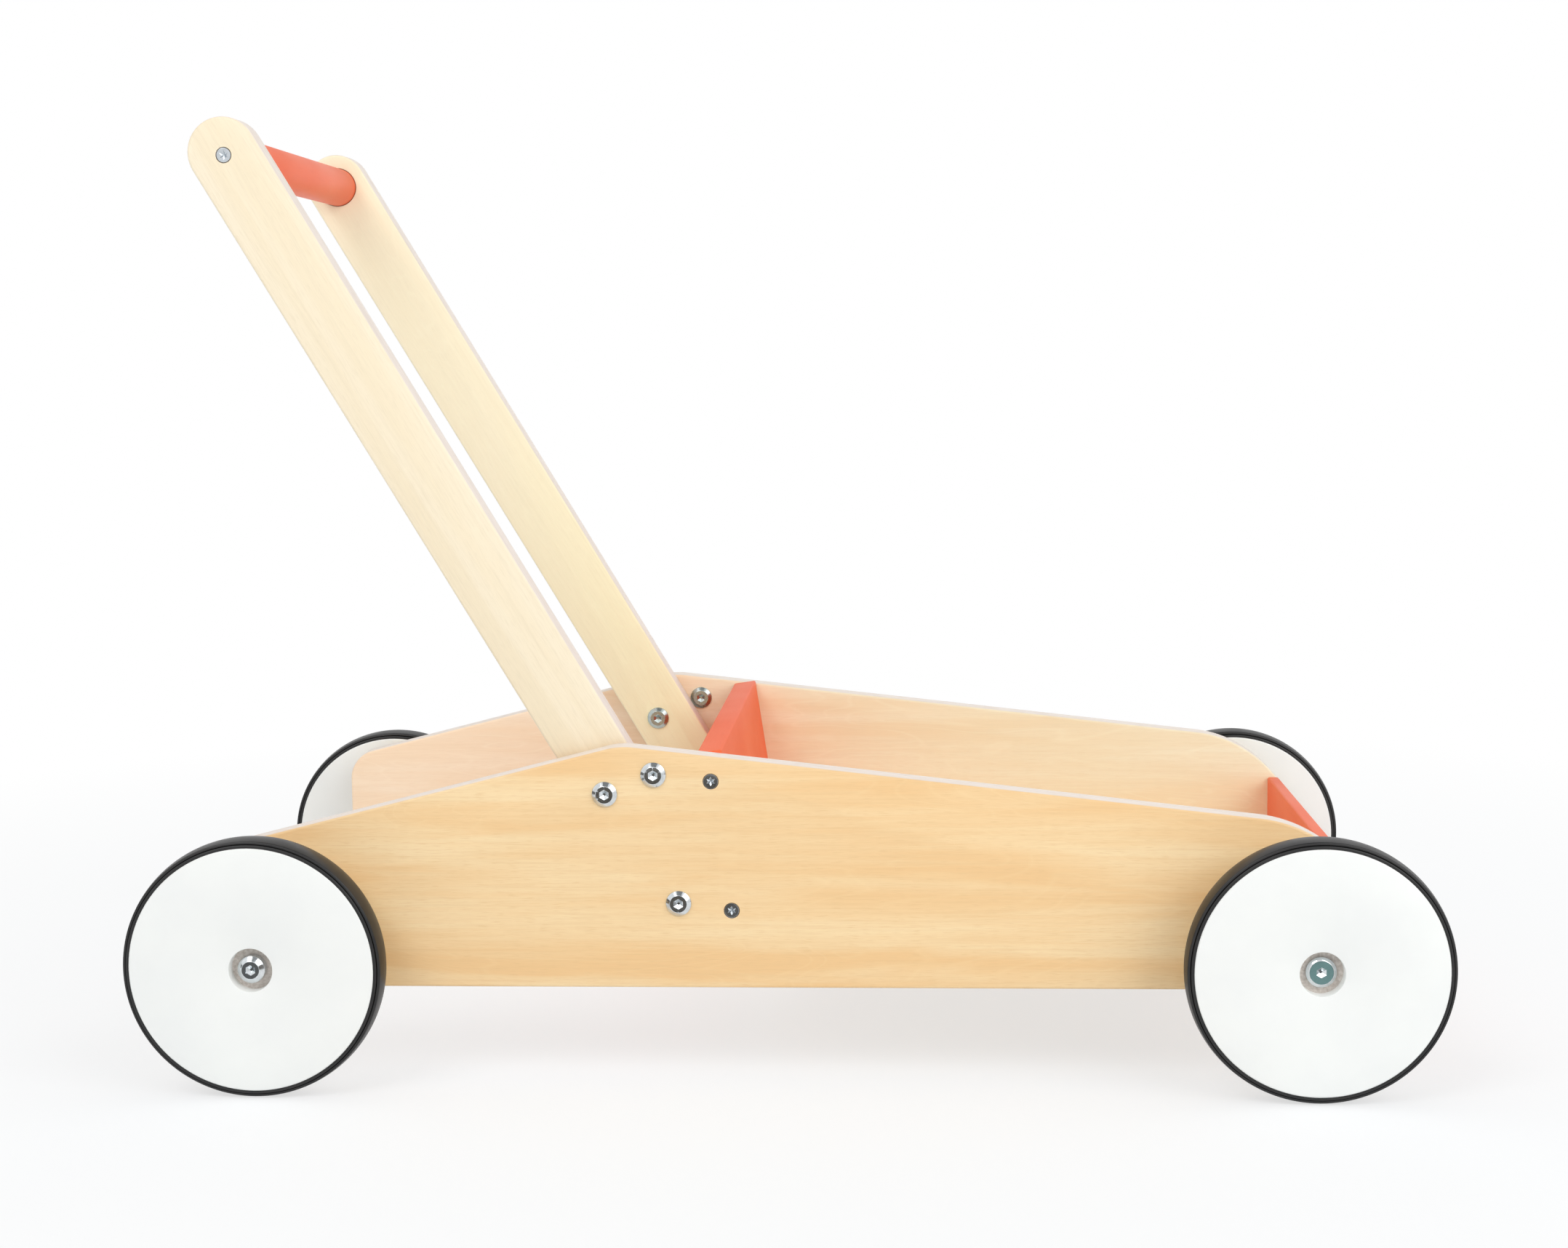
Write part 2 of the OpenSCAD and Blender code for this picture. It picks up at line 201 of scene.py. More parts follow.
def smooth(piece, degrees=35):
    """Shades a piece smooth over all but its sharp edges."""
    pick(piece)
    bpy.ops.object.shade_smooth_by_angle(angle=math.radians(degrees))


def face_outward(piece):
    """Turns all faces of a piece outward."""
    open_mesh(piece)
    bpy.ops.mesh.select_all(action="SELECT")
    bpy.ops.mesh.normals_make_consistent(inside=False)
    close_mesh()


def copy_piece(piece, name, shift=(0, 0, 0), mirrored=False):
    """Copies a piece with its own mesh, moved, or mirrored to the other side of the walker."""
    pick(piece)
    bpy.ops.object.duplicate(linked=False)
    twin = bpy.context.object
    twin.location = shift
    if mirrored:
        twin.scale = (1, -1, 1)
    settle(name)
    if mirrored:
        face_outward(twin)
    return twin


def screen_colour(red, green, blue):
    """A colour as a screen shows it, in steps of 255, made linear by the standard screen curve."""
    def linear(step):
        share = step / 255
        if share <= 0.04045:
            return share / 12.92
        return ((share + 0.055) / 1.055) ** 2.4
    return (linear(red), linear(green), linear(blue), 1.0)


def shaded(colour, share):
    """A colour made darker or lighter."""
    return tuple(min(1.0, part * share) for part in colour[:3]) + (1.0,)


def new_finish(name):
    """A new material, with its node tree and its shader."""
    finish = bpy.data.materials.new(name)
    finish.use_nodes = True
    return finish, finish.node_tree, finish.node_tree.nodes["Principled BSDF"]


def add_node(tree, kind, inputs, **settings):
    """Adds a shader node. An input is a value, or a socket to link from."""
    made = tree.nodes.new(kind)
    for key, value in settings.items():
        setattr(made, key, value)
    for key, value in inputs.items():
        if isinstance(value, bpy.types.NodeSocket):
            tree.links.new(value, made.inputs[key])
        else:
            made.inputs[key].default_value = value
    return made


def grain(tree, vector, scale, detail, distortion=0.0):
    """Noise drawn out along the grain, as a value about a half."""
    stretched = add_node(tree, "ShaderNodeMapping", {"Vector": vector, "Scale": scale})
    noise = add_node(
        tree, "ShaderNodeTexNoise",
        {"Vector": stretched.outputs[0], "Scale": 1.0, "Detail": detail, "Distortion": distortion},
    )
    return noise.outputs["Fac"]


def spread(tree, value, low, high, to_low=0.0, to_high=1.0):
    """Stretches a range of a value to another range, and holds its ends."""
    made = add_node(
        tree, "ShaderNodeMapRange",
        {"Value": value, "From Min": low, "From Max": high, "To Min": to_low, "To Max": to_high},
    )
    return made.outputs[0]


def sums(tree, operation, a, b=0.0):
    """One step of arithmetic."""
    return add_node(tree, "ShaderNodeMath", {0: a, 1: b}, operation=operation).outputs[0]


def blended(tree, share, first, second, blend_type="MIX"):
    """A colour between two others."""
    made = add_node(
        tree, "ShaderNodeMix", {0: share, 6: first, 7: second},
        data_type="RGBA", blend_type=blend_type,
    )
    return made.outputs[2]


def rough_and_bumped(tree, shader, value, rough, height, depth):
    """Gives a shader a roughness that varies with a value, and a bump from a height."""
    noise_low = 0.3
    noise_high = 0.7
    bump_strength = 0.5
    roughness = spread(tree, value, noise_low, noise_high, *rough)
    tree.links.new(roughness, shader.inputs["Roughness"])
    bump = add_node(
        tree, "ShaderNodeBump", {"Strength": bump_strength, "Distance": depth, "Height": height}
    )
    tree.links.new(bump.outputs[0], shader.inputs["Normal"])


def birch_plywood(name, pale, dark, inner_tone_and_painted_light, tone_and_light_fade, grain_turn, ply, bands, figure):
    """Birch plywood: a rotary-cut veneer on the two faces, and pale glued plies on the edges.

    The veneer on the face toward the walker's middle is calmer, and carries a tint that is partly
    its own tone and partly painted light: it lifts the shade that falls inside the tray and, on the
    panels, takes the orange board's bounce light out, fading from the rear to the front. The
    figure's strength is given for the outer and the inner face.
    """
    vein = shaded(dark, 0.90)
    glint = shaded(pale, 1.14)
    pale_share = 0.6
    calm = tuple(pale_share * a + (1 - pale_share) * b for a, b in zip(pale, dark))
    calming = 0.45
    ring_count = 15.0
    side_gain = 9.0
    edge_pale = screen_colour(246, 235, 225)
    edge_dark = screen_colour(238, 226, 215)
    edge_vein = screen_colour(222, 207, 194)
    finish, tree, shader = new_finish(name)
    place = add_node(tree, "ShaderNodeTexCoord", {})
    along = add_node(
        tree, "ShaderNodeMapping", {"Vector": place.outputs["Object"], "Rotation": (0, grain_turn, 0)}
    ).outputs[0]
    normal = add_node(tree, "ShaderNodeSeparateXYZ", {0: place.outputs["Normal"]}).outputs
    parts = add_node(tree, "ShaderNodeSeparateXYZ", {0: place.outputs["Object"]}).outputs
    outward = sums(tree, "MULTIPLY", normal[1], sums(tree, "MULTIPLY", parts[1], side_gain))
    inner = spread(tree, outward, -0.5, 0.5, 1.0, 0.0)
    broad = grain(tree, along, scale=bands, detail=3.0, distortion=0.5)
    streak = grain(tree, along, scale=(9, 100, 420), detail=3.0)
    fibre = grain(tree, along, scale=(26, 400, 900), detail=3.0)
    pore = grain(tree, along, scale=(140, 1500, 2600), detail=1.0)
    rings = grain(tree, along, scale=(6, 30, 34), detail=2.0, distortion=0.8)
    turns = sums(tree, "PINGPONG", sums(tree, "MULTIPLY", rings, ring_count), 0.5)
    ring_line = spread(tree, turns, 0.0, 0.14, 1.0, 0.0)
    face = blended(tree, spread(tree, broad, 0.36, 0.64), pale, dark)
    face = blended(tree, spread(tree, streak, 0.50, 0.74, to_high=0.32), face, dark)
    face = blended(tree, spread(tree, fibre, 0.48, 0.74, to_high=0.36), face, vein)
    face = blended(tree, spread(tree, pore, 0.54, 0.70, to_high=0.45), face, vein)
    line = sums(tree, "MULTIPLY", ring_line, spread(tree, inner, 0, 1, *figure))
    face = blended(tree, line, face, glint)
    face = blended(tree, sums(tree, "MULTIPLY", inner, calming), face, calm)
    # Painted light on the inner face: a tint, partly the veneer's tone, that lifts shade and takes out
    # bounce light, fading along X.
    inner_tone_and_light = blended(tree, spread(tree, parts[0], *tone_and_light_fade), *inner_tone_and_painted_light)
    face = blended(tree, inner, face, blended(tree, 1.0, face, inner_tone_and_light, "MULTIPLY"))
    layer = sums(tree, "SINE", sums(tree, "MULTIPLY", parts[1], math.pi / ply))
    edge = blended(tree, spread(tree, layer, -0.6, 0.6), edge_pale, edge_dark)
    edge = blended(tree, spread(tree, fibre, 0.4, 0.8, to_high=0.4), edge, edge_vein)
    is_face = spread(tree, sums(tree, "ABSOLUTE", normal[1]), 0.40, 0.70)
    tree.links.new(blended(tree, is_face, edge, face), shader.inputs["Base Color"])
    rough_and_bumped(tree, shader, fibre, (0.38, 0.52), fibre, depth=0.00012)
    shader.inputs["Specular IOR Level"].default_value = 0.4
    return finish


panel_size = (nose_x - tail_x, panel_outer_y - panel_inner_y, peak_z - panel_bottom)
panel_middle = (
    (tail_x + nose_x) / 2, (panel_inner_y + panel_outer_y) / 2, (panel_bottom + peak_z) / 2
)
panel_left = add_block("panel_left", panel_middle, panel_size)
peak_point = (peak_x, 0, peak_z)
saw(panel_left, peak_point, (-math.sin(tail_slope), 0, math.cos(tail_slope)))
saw(panel_left, peak_point, (math.sin(nose_slope), 0, math.cos(nose_slope)))
tail_z = peak_z - (peak_x - tail_x) * math.tan(tail_slope)
nose_z = peak_z - (nose_x - peak_x) * math.tan(nose_slope)
panel_corners = [
    {"at": (tail_x, panel_bottom), "radius": tail_round, "segments": 8},
    {"at": (nose_x, panel_bottom), "radius": nose_low_round, "segments": 8},
    {"at": (nose_x, nose_z), "radius": nose_round, "segments": 28},
    {"at": (peak_x, peak_z), "radius": peak_round, "segments": 6},
    {"at": (tail_x, tail_z), "radius": tail_round, "segments": 10},
]
for i, corner in enumerate(panel_corners):
    before = panel_corners[i - 1]["at"]
    after = panel_corners[(i + 1) % len(panel_corners)]["at"]
    reach = corner_reach(before, corner["at"], after, corner["radius"])
    round_edges(panel_left, runs_across_at(*corner["at"]), reach, corner["segments"])
panel_faces = lies_in_side_face((panel_inner_y, panel_outer_y))
round_edges(panel_left, panel_faces, panel_edge_round, edge_segments)

lock_at = from_pivot(lock_reach, lock_lean)
spare_at = from_pivot(lock_reach, spare_lean)
board_screw_high = (
    board_screw_low[0] - board_screw_gap * math.sin(board_lean),
    board_screw_low[1] + board_screw_gap * math.cos(board_lean),
)
for place in ((-axle_x, axle_z), (axle_x, axle_z), pivot_at, lock_at, spare_at):
    drill(panel_left, place, barrel_hole, panel_inner_y - drill_over, panel_outer_y + drill_over)
for place in (board_screw_low, board_screw_high):
    pocket_floor = panel_outer_y - screw_pocket_depth
    drill(panel_left, place, screw_pocket, pocket_floor, panel_outer_y + drill_over)
smooth(panel_left)
panel_left.data.materials.append(birch_plywood(
    "panel_birch", pale=screen_colour(245, 217, 171), dark=screen_colour(239, 199, 145),
    # Inner tints: partly the veneer's tone, partly painted light, less red toward the front where the
    # orange board's bounce light falls.
    inner_tone_and_painted_light=((1.10, 1.20, 1.58, 1.0), (1.00, 1.25, 1.63, 1.0)), tone_and_light_fade=(-0.08, 0.0),
    grain_turn=0.0, ply=0.00133, bands=(6.0, 20, 72), figure=(0.10, 0.24),
))
panel_right = copy_piece(panel_left, "panel_right", mirrored=True)
for panel, side in ((panel_left, "left"), (panel_right, "right")):
    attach(panel, "chassis")
    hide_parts(side + "_side_panel")

# Tray floor and cleats
# A sheet of thin plywood that lies on two square beech cleats, which are glued to the panels.
# Both keep their sawn shape, and are covered at their ends by the boards and the panels.


def places(tree):
    """The place in the object's own frame, as a socket."""
    return add_node(tree, "ShaderNodeTexCoord", {}).outputs["Object"]


def beech(name):
    """Plain beech with its short flecks along the grain."""
    pale = screen_colour(232, 200, 160)
    dark = screen_colour(218, 180, 138)
    fleck_brown = screen_colour(186, 142, 100)
    finish, tree, shader = new_finish(name)
    place = places(tree)
    broad = grain(tree, place, scale=(5, 60, 60), detail=3.0)
    fleck = grain(tree, place, scale=(90, 900, 900), detail=2.0)
    wood = blended(tree, spread(tree, broad, 0.35, 0.65), pale, dark)
    wood = blended(tree, spread(tree, fleck, 0.58, 0.75, to_high=0.6), wood, fleck_brown)
    tree.links.new(wood, shader.inputs["Base Color"])
    rough_and_bumped(tree, shader, fleck, (0.45, 0.6), fleck, depth=0.0001)
    return finish


def floor_veneer(name):
    """The floor's birch veneer, on all its faces."""
    pale = screen_colour(246, 216, 174)
    dark = screen_colour(236, 199, 149)
    vein = screen_colour(228, 188, 138)
    finish, tree, shader = new_finish(name)
    place = places(tree)
    broad = grain(tree, place, scale=(3, 26, 20), detail=4.0, distortion=0.5)
    fibre = grain(tree, place, scale=(26, 620, 400), detail=3.0)
    face = blended(tree, spread(tree, broad, 0.40, 0.66), pale, dark)
    face = blended(tree, spread(tree, fibre, 0.45, 0.85, to_high=0.35), face, vein)
    tree.links.new(face, shader.inputs["Base Color"])
    rough_and_bumped(tree, shader, fibre, (0.38, 0.52), fibre, depth=0.00012)
    return finish


def repaint(node_name, finish):
    """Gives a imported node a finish, and leaves its shape alone."""
    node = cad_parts[node_name]
    node.data.materials.clear()
    node.data.materials.append(finish)


repaint("floor_panel", floor_veneer("floor_birch"))
repaint("floor_cleats", beech("cleat_beech"))

# Back and front boards of the tray
# Two boards painted orange, between the panels. The thick one leans to the rear and is held by
# screws, and the thin one stands upright near the nose.
back_board_size = (0.012, 0.232, 0.085)
back_board_gloss = 0.22
front_board_size = (0.006, 0.232, 0.0485)
front_board_middle = (0.2592, 0, 0.07425)
front_board_gloss = 0.65
board_edge_round = 0.0009


def orange_paint(name, gloss):
    """Satin orange paint on wood, with the brush of the grain just showing through it."""
    light = screen_colour(248, 115, 70)
    deep = screen_colour(244, 108, 65)
    brushed = screen_colour(235, 97, 57)
    finish, tree, shader = new_finish(name)
    place = places(tree)
    cloud = grain(tree, place, scale=(22, 14, 22), detail=3.0)
    fibre = grain(tree, place, scale=(700, 60, 700), detail=3.0)
    paint = blended(tree, spread(tree, cloud, 0.3, 0.7), light, deep)
    paint = blended(tree, spread(tree, fibre, 0.55, 0.8, to_high=0.3), paint, brushed)
    tree.links.new(paint, shader.inputs["Base Color"])
    rough_and_bumped(tree, shader, cloud, (0.44, 0.54), fibre, depth=0.00008)
    shader.inputs["Specular IOR Level"].default_value = gloss
    return finish


back_board_middle = (
    (board_screw_low[0] + board_screw_high[0]) / 2, 0, (board_screw_low[1] + board_screw_high[1]) / 2
)
board_back = add_block("board_back", back_board_middle, back_board_size, board_lean)
board_front = add_block("board_front", front_board_middle, front_board_size)
for board, node_name, gloss in (
    (board_back, "back_board", back_board_gloss), (board_front, "front_board", front_board_gloss),
):
    round_edges(board, lambda a, b: True, board_edge_round, edge_segments)
    smooth(board)
    board.data.materials.append(orange_paint(node_name + "_orange", gloss))
    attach(board, "chassis")
    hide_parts(node_name)

# Wood screws
# Zinc-plated countersunk screws with a star recess. Two go through each panel into the end of
# the back board, and one goes through each handle arm into the end of the bar.
screw_head_r = 0.0033
screw_head_h = 0.0023
screw_rim_h = 0.0004
screw_shank_r = 0.002
screw_length = 0.040
screw_tip = 0.004
screw_sunk = 0.00015
screw_ease = 0.00012
screw_steps = 40
star_points = 6
star_tip_r = 0.0022
star_root_r = 0.0013
star_depth = 0.0009
star_foot = 0.12
metal_crease = 25
same_point = 1e-6


def turned(name, section, place, steps=64):
    """A round piece: a chain of points along its section, in radius and Y, spun round its axis."""
    bpy.ops.object.select_all(action="DESELECT")
    bpy.ops.mesh.primitive_circle_add(vertices=len(section), fill_type="NOTHING")
    piece = settle(name)
    mesh = open_mesh(piece)
    mesh.verts.ensure_lookup_table()
    for vert, (radius, y) in zip(mesh.verts, section):
        vert.co = (place[0] + radius, y, place[1])
    on_axis = section[0][0] == 0 and section[-1][0] == 0
    if on_axis:
        ends = (mesh.verts[0], mesh.verts[len(section) - 1])
        mesh.edges.remove(mesh.edges.get(ends))
    bmesh.update_edit_mesh(piece.data)
    bpy.ops.mesh.select_all(action="SELECT")
    bpy.ops.mesh.spin(
        steps=steps, angle=2 * math.pi, center=(place[0], 0, place[1]), axis=(0, 1, 0),
        use_auto_merge=True,
    )
    bpy.ops.mesh.select_all(action="SELECT")
    bpy.ops.mesh.remove_doubles(threshold=same_point)
    bpy.ops.mesh.normals_make_consistent(inside=False)
    close_mesh()
    return piece


def ease_edges(piece, width):
    """Breaks the sharp edges of a turned piece."""
    apply_modifier(
        piece, "BEVEL", width=width, segments=2, limit_method="ANGLE", angle_limit=math.radians(18)
    )


def join_pieces(pieces, name):
    """Joins like pieces into one object."""
    pick(pieces[0])
    for piece in pieces:
        piece.select_set(True)
    bpy.ops.object.join()
    pieces[0].name = name
    pieces[0].data.name = name
    return pieces[0]


def on_both_sides(pieces, name):
    """Joins pieces of the left side with their mirrored copies on the right."""
    twins = [copy_piece(piece, name + "_twin", mirrored=True) for piece in pieces]
    return join_pieces(list(pieces) + twins, name)


def level_flats(piece):
    """Weighs a smooth piece's normals by area, so that its flat faces shine as flat ones do."""
    apply_modifier(piece, "WEIGHTED_NORMAL", keep_sharp=True)


def zinc(name, colour, rough):
    """Bright zinc plating with fine turning marks."""
    finish, tree, shader = new_finish(name)
    place = places(tree)
    cloud = grain(tree, place, scale=(420, 420, 420), detail=3.0)
    scratch = grain(tree, place, scale=(2600, 900, 2600), detail=2.0)
    plate = blended(tree, spread(tree, cloud, 0.35, 0.7), colour, shaded(colour, 0.86))
    tree.links.new(plate, shader.inputs["Base Color"])
    shader.inputs["Metallic"].default_value = 1.0
    rough_and_bumped(tree, shader, cloud, rough, scratch, depth=0.000012)
    return finish


def star_recess(screw, place, face_y):
    """Presses a star into a screw's head, which narrows to a small foot."""
    cutter = add_rod(
        "star", place, star_tip_r, face_y - star_depth, face_y + star_depth, 2 * star_points
    )
    mesh = open_mesh(cutter)
    middle = Vector((place[0], 0, place[1]))
    half_step = 180 / star_points
    for vert in mesh.verts:
        arm = Vector((vert.co.x, 0, vert.co.z)) - middle
        step = round(math.degrees(math.atan2(arm.x, arm.z)) / half_step)
        share = 1.0 if step % 2 == 0 else star_root_r / star_tip_r
        taper = 2 - star_foot if vert.co.y > face_y else star_foot
        flat = middle + arm * share * taper
        vert.co = (flat.x, vert.co.y, flat.z)
    bmesh.update_edit_mesh(cutter.data)
    close_mesh()
    cut_away(screw, cutter)


def wood_screw(name, place, face_y):
    """One screw, its head just below the face that it is driven into."""
    top = face_y - screw_sunk
    end = top - screw_length
    screw = turned(name, [
        (0, end), (screw_shank_r, end + screw_tip), (screw_shank_r, top - screw_head_h),
        (screw_head_r, top - screw_rim_h), (screw_head_r, top), (0, top),
    ], place, screw_steps)
    ease_edges(screw, screw_ease)
    star_recess(screw, place, top)
    smooth(screw, metal_crease)
    return screw


screw_zinc = zinc("screw_zinc", screen_colour(205, 211, 216), rough=(0.10, 0.18))
board_screws = on_both_sides([
    wood_screw("board_screw_low", board_screw_low, panel_outer_y),
    wood_screw("board_screw_high", board_screw_high, panel_outer_y),
], "screws_back_board")
level_flats(board_screws)
board_screws.data.materials.append(screw_zinc)
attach(board_screws, "chassis")
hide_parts("back_board_screws")

# Wheel discs
# Fibreboard discs painted white, with a counterbore at the hub that is left raw. The four are
# alike, and each turns on the nylon bush in its middle.
disc_r = 0.0563
disc_inner_y = 0.144
disc_outer_y = 0.160
disc_edge_round = 0.0008
hub_r = 0.010
hub_depth = 0.006
hub_edge_round = 0.0006
hub_edge_segments = 2
bush_r = 0.006
wheel_sides = 144
facing = 0.9
same_ring = 2e-5
front_left_at = (axle_x, axle_z)


def select_faces(piece, wanted):
    """Opens a piece and selects the faces whose normals pass the test."""
    mesh = open_mesh(piece)
    bpy.ops.mesh.select_mode(type="FACE")
    for face in mesh.faces:
        if wanted(face.normal):
            face.select_set(True)
    bmesh.update_edit_mesh(piece.data)


def from_axle(point):
    """How far a point lies from the front axle's middle line."""
    return math.hypot(point.x - axle_x, point.z - axle_z)


def runs_round_axle(radius, y=None):
    """A test for the edges of a ring round the front axle, at one place in Y or at any."""
    def on_ring(point):
        at_height = y is None or abs(point.y - y) < same_ring
        return at_height and abs(from_axle(point) - radius) < same_ring
    def test(a, b):
        return on_ring(a) and on_ring(b) and abs(a.y - b.y) < same_point
    return test


def mottled(name, tones, fade, cloud, skin, rough, gloss=0.5):
    """Paint or rubber or nylon: soft clouds of two near tones, and a fine grain on the skin."""
    finish, tree, shader = new_finish(name)
    place = places(tree)
    clouds = grain(tree, place, scale=(cloud, cloud, cloud), detail=3.0)
    skin_grain = grain(tree, place, scale=(skin, skin, skin), detail=2.0)
    tone = blended(tree, spread(tree, clouds, *fade), *tones)
    tree.links.new(tone, shader.inputs["Base Color"])
    rough_and_bumped(tree, shader, clouds, rough, skin_grain, depth=0.00003)
    shader.inputs["Specular IOR Level"].default_value = gloss
    return finish


def raw_board(name):
    """Bored fibreboard, furry and grey-brown."""
    pale = screen_colour(223, 215, 208)
    dark = screen_colour(190, 179, 170)
    finish, tree, shader = new_finish(name)
    fur = grain(tree, places(tree), scale=(700, 260, 700), detail=4.0)
    board = blended(tree, spread(tree, fur, 0.35, 0.7), pale, dark)
    tree.links.new(board, shader.inputs["Base Color"])
    rough_and_bumped(tree, shader, fur, (0.75, 0.9), fur, depth=0.0002)
    return finish


disc = add_rod("disc_front_left", front_left_at, disc_r, disc_inner_y, disc_outer_y, wheel_sides)
select_faces(disc, lambda normal: normal.y > facing)
bpy.ops.mesh.inset(thickness=disc_r - hub_r)
bpy.ops.mesh.extrude_region_move(TRANSFORM_OT_translate={"value": (0, -hub_depth, 0)})
bpy.ops.mesh.inset(thickness=hub_r - bush_r)
bpy.ops.mesh.delete(type="FACE")
close_mesh()
select_faces(disc, lambda normal: normal.y < -facing)
bpy.ops.mesh.inset(thickness=disc_r - bush_r)
bpy.ops.mesh.delete(type="FACE")
close_mesh()
select_edges(disc, runs_round_axle(bush_r))
bpy.ops.mesh.bridge_edge_loops()
close_mesh()
face_outward(disc)
round_edges(disc, runs_round_axle(disc_r), disc_edge_round, edge_segments)
round_edges(disc, runs_round_axle(hub_r, disc_outer_y), hub_edge_round, hub_edge_segments)
smooth(disc)
disc.data.materials.append(mottled(
    "disc_white", tones=(screen_colour(243, 244, 241), screen_colour(239, 240, 238)),
    fade=(0.3, 0.7), cloud=30, skin=900, rough=(0.36, 0.46),
))
disc.data.materials.append(raw_board("disc_raw_hub"))
hub_floor_y = disc_outer_y - hub_depth
for face in disc.data.polygons:
    at_floor = abs(face.center.y - hub_floor_y) < same_place and face.normal.y > facing
    if at_floor and bush_r < from_axle(face.center) < hub_r:
        face.material_index = 1


def wheel_copies(piece, stem):
    """The four like pieces of the wheels, from the one at the front left, by wheel."""
    rear_left = copy_piece(piece, stem + "_rear_left", (-2 * axle_x, 0, 0))
    made = {"front_left": piece, "rear_left": rear_left}
    for end in ("rear", "front"):
        twin_name = stem + "_" + end + "_right"
        made[end + "_right"] = copy_piece(made[end + "_left"], twin_name, mirrored=True)
    return made


discs = wheel_copies(disc, "disc")
for wheel, piece in discs.items():
    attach(piece, wheel + "_wheel")
    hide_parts(wheel + "_wheel_disc")

# Tyres
# Soft black rubber rings stretched over the discs. Each has a narrow round bead beside the disc,
# a crease round it, and a low crowned tread with round shoulders.
tyre_r = 0.060
tyre_grip = 0.0001
bead_y = 0.0004
bead_out_r = 0.0577
bead_round = 0.0005
crease_y = 0.0011
crease_depth = 0.0005
crease_width = 0.0004
shoulder_r = 0.0593
shoulder_round = 0.0008
tread_steps = 12
tyre_crease = 40


def quarter_round(reach, y, radius):
    """Points of a rounded edge, from a side face at Y to its end at this reach."""
    points = []
    for degrees in (0, 30, 60, 90):
        turn = math.radians(degrees)
        points.append((reach - radius + radius * math.sin(turn), y - radius + radius * math.cos(turn)))
    return points


tyre_middle_y = (disc_inner_y + disc_outer_y) / 2
tyre_half = (disc_outer_y - disc_inner_y) / 2
bead_face = tyre_half - bead_y
tread_face = tyre_half - crease_y
half_section = [(disc_r - tyre_grip, bead_face)]
half_section += quarter_round(bead_out_r, bead_face, bead_round)
half_section += [(bead_out_r, tread_face - crease_depth), (bead_out_r + crease_width, tread_face)]
half_section += quarter_round(shoulder_r, tread_face, shoulder_round)
tread = []
tread_half = tread_face - shoulder_round
tread_rise = tyre_r - shoulder_r
crown_r = (tread_half ** 2 + tread_rise ** 2) / (2 * tread_rise)
for step in range(1, tread_steps):
    y = tread_half - 2 * tread_half * step / tread_steps
    tread.append((tyre_r - crown_r + math.sqrt(crown_r ** 2 - y ** 2), y))
other_half = [(radius, -y) for radius, y in reversed(half_section)]
tyre_section = [(radius, tyre_middle_y + y) for radius, y in half_section + tread + other_half]
tyre = turned("tyre_front_left", tyre_section, front_left_at, wheel_sides)
smooth(tyre, tyre_crease)
tyre.data.materials.append(mottled(
    "tyre_rubber", tones=(screen_colour(30, 30, 31), screen_colour(39, 38, 38)),
    fade=(0.35, 0.7), cloud=60, skin=1500, rough=(0.34, 0.46), gloss=0.4,
))
tyres = wheel_copies(tyre, "tyre")
for wheel, piece in tyres.items():
    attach(piece, wheel + "_wheel")
    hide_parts(wheel + "_tyre")

# Axle bolts
# Turned steel barrels that the wheels spin on. Each head stands in the hub's counterbore: the
# rear ones are tall with a wide bevel, and the front ones low with a broad blue-zinc face.
axle_head_y = 0.1543
axle_end_y = 0.1163
axle_bore_end = 0.1363
axle_ease = 0.00018
axle_heads = {
    "front": {"head_r": 0.0069, "head_h": 0.0027, "flat_r": 0.00545, "rim_h": 0.0017},
    "rear": {"head_r": 0.0063, "head_h": 0.0057, "flat_r": 0.0041, "rim_h": 0.0040},
}
barrel_r = 0.004
thread_r = 0.003
socket_r = 0.0025
socket_wall = 0.0007
socket_point = 0.0011
socket_foot = 0.26
same_flat = 3e-5
level = 0.99


def hex_socket(piece, place, face_y, inward):
    """Presses a hexagon socket with a drilled point into a bolt's head."""
    cutter = add_rod("socket", place, socket_r, face_y - socket_wall, face_y + socket_wall, 6)
    select_faces(cutter, lambda normal: normal.y * inward > facing)
    bpy.ops.mesh.extrude_region_move(TRANSFORM_OT_translate={"value": (0, inward * socket_point, 0)})
    bpy.ops.transform.resize(
        value=(socket_foot, 1, socket_foot), center_override=(place[0], face_y, place[1])
    )
    close_mesh()
    cut_away(piece, cutter)


def axle_bolt(name, place, head_r, head_h, flat_r, rim_h):
    """One axle: a barrel with a bore at its inner end and a head at its outer end."""
    top = axle_head_y + head_h
    bolt = turned(name, [
        (0, axle_bore_end), (thread_r, axle_bore_end), (thread_r, axle_end_y), (barrel_r, axle_end_y),
        (barrel_r, axle_head_y), (head_r, axle_head_y), (head_r, axle_head_y + rim_h),
        (flat_r, top), (0, top),
    ], place)
    ease_edges(bolt, axle_ease)
    hex_socket(bolt, place, top, -1)
    smooth(bolt, metal_crease)
    return bolt


axle_zinc = zinc("axle_zinc", screen_colour(222, 227, 230), rough=(0.10, 0.18))
front_axle = axle_bolt("axle_front_left", front_left_at, **axle_heads["front"])
front_axle.data.materials.append(axle_zinc)
front_axle.data.materials.append(zinc("blue_zinc", screen_colour(150, 190, 190), rough=(0.36, 0.44)))
front_top = axle_head_y + axle_heads["front"]["head_h"]
for face in front_axle.data.polygons:
    on_top = face.center.y > front_top - same_flat and face.normal.y > level
    if on_top and from_axle(face.center) < axle_heads["front"]["flat_r"]:
        face.material_index = 1
rear_axle = axle_bolt("axle_rear_left", (-axle_x, axle_z), **axle_heads["rear"])
rear_axle.data.materials.append(axle_zinc)
axles = {
    "front_left": front_axle,
    "front_right": copy_piece(front_axle, "axle_front_right", mirrored=True),
    "rear_left": rear_axle,
    "rear_right": copy_piece(rear_axle, "axle_rear_right", mirrored=True),
}
for wheel, piece in axles.items():
    level_flats(piece)
    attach(piece, "chassis")
    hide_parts(wheel + "_axle_bolt")

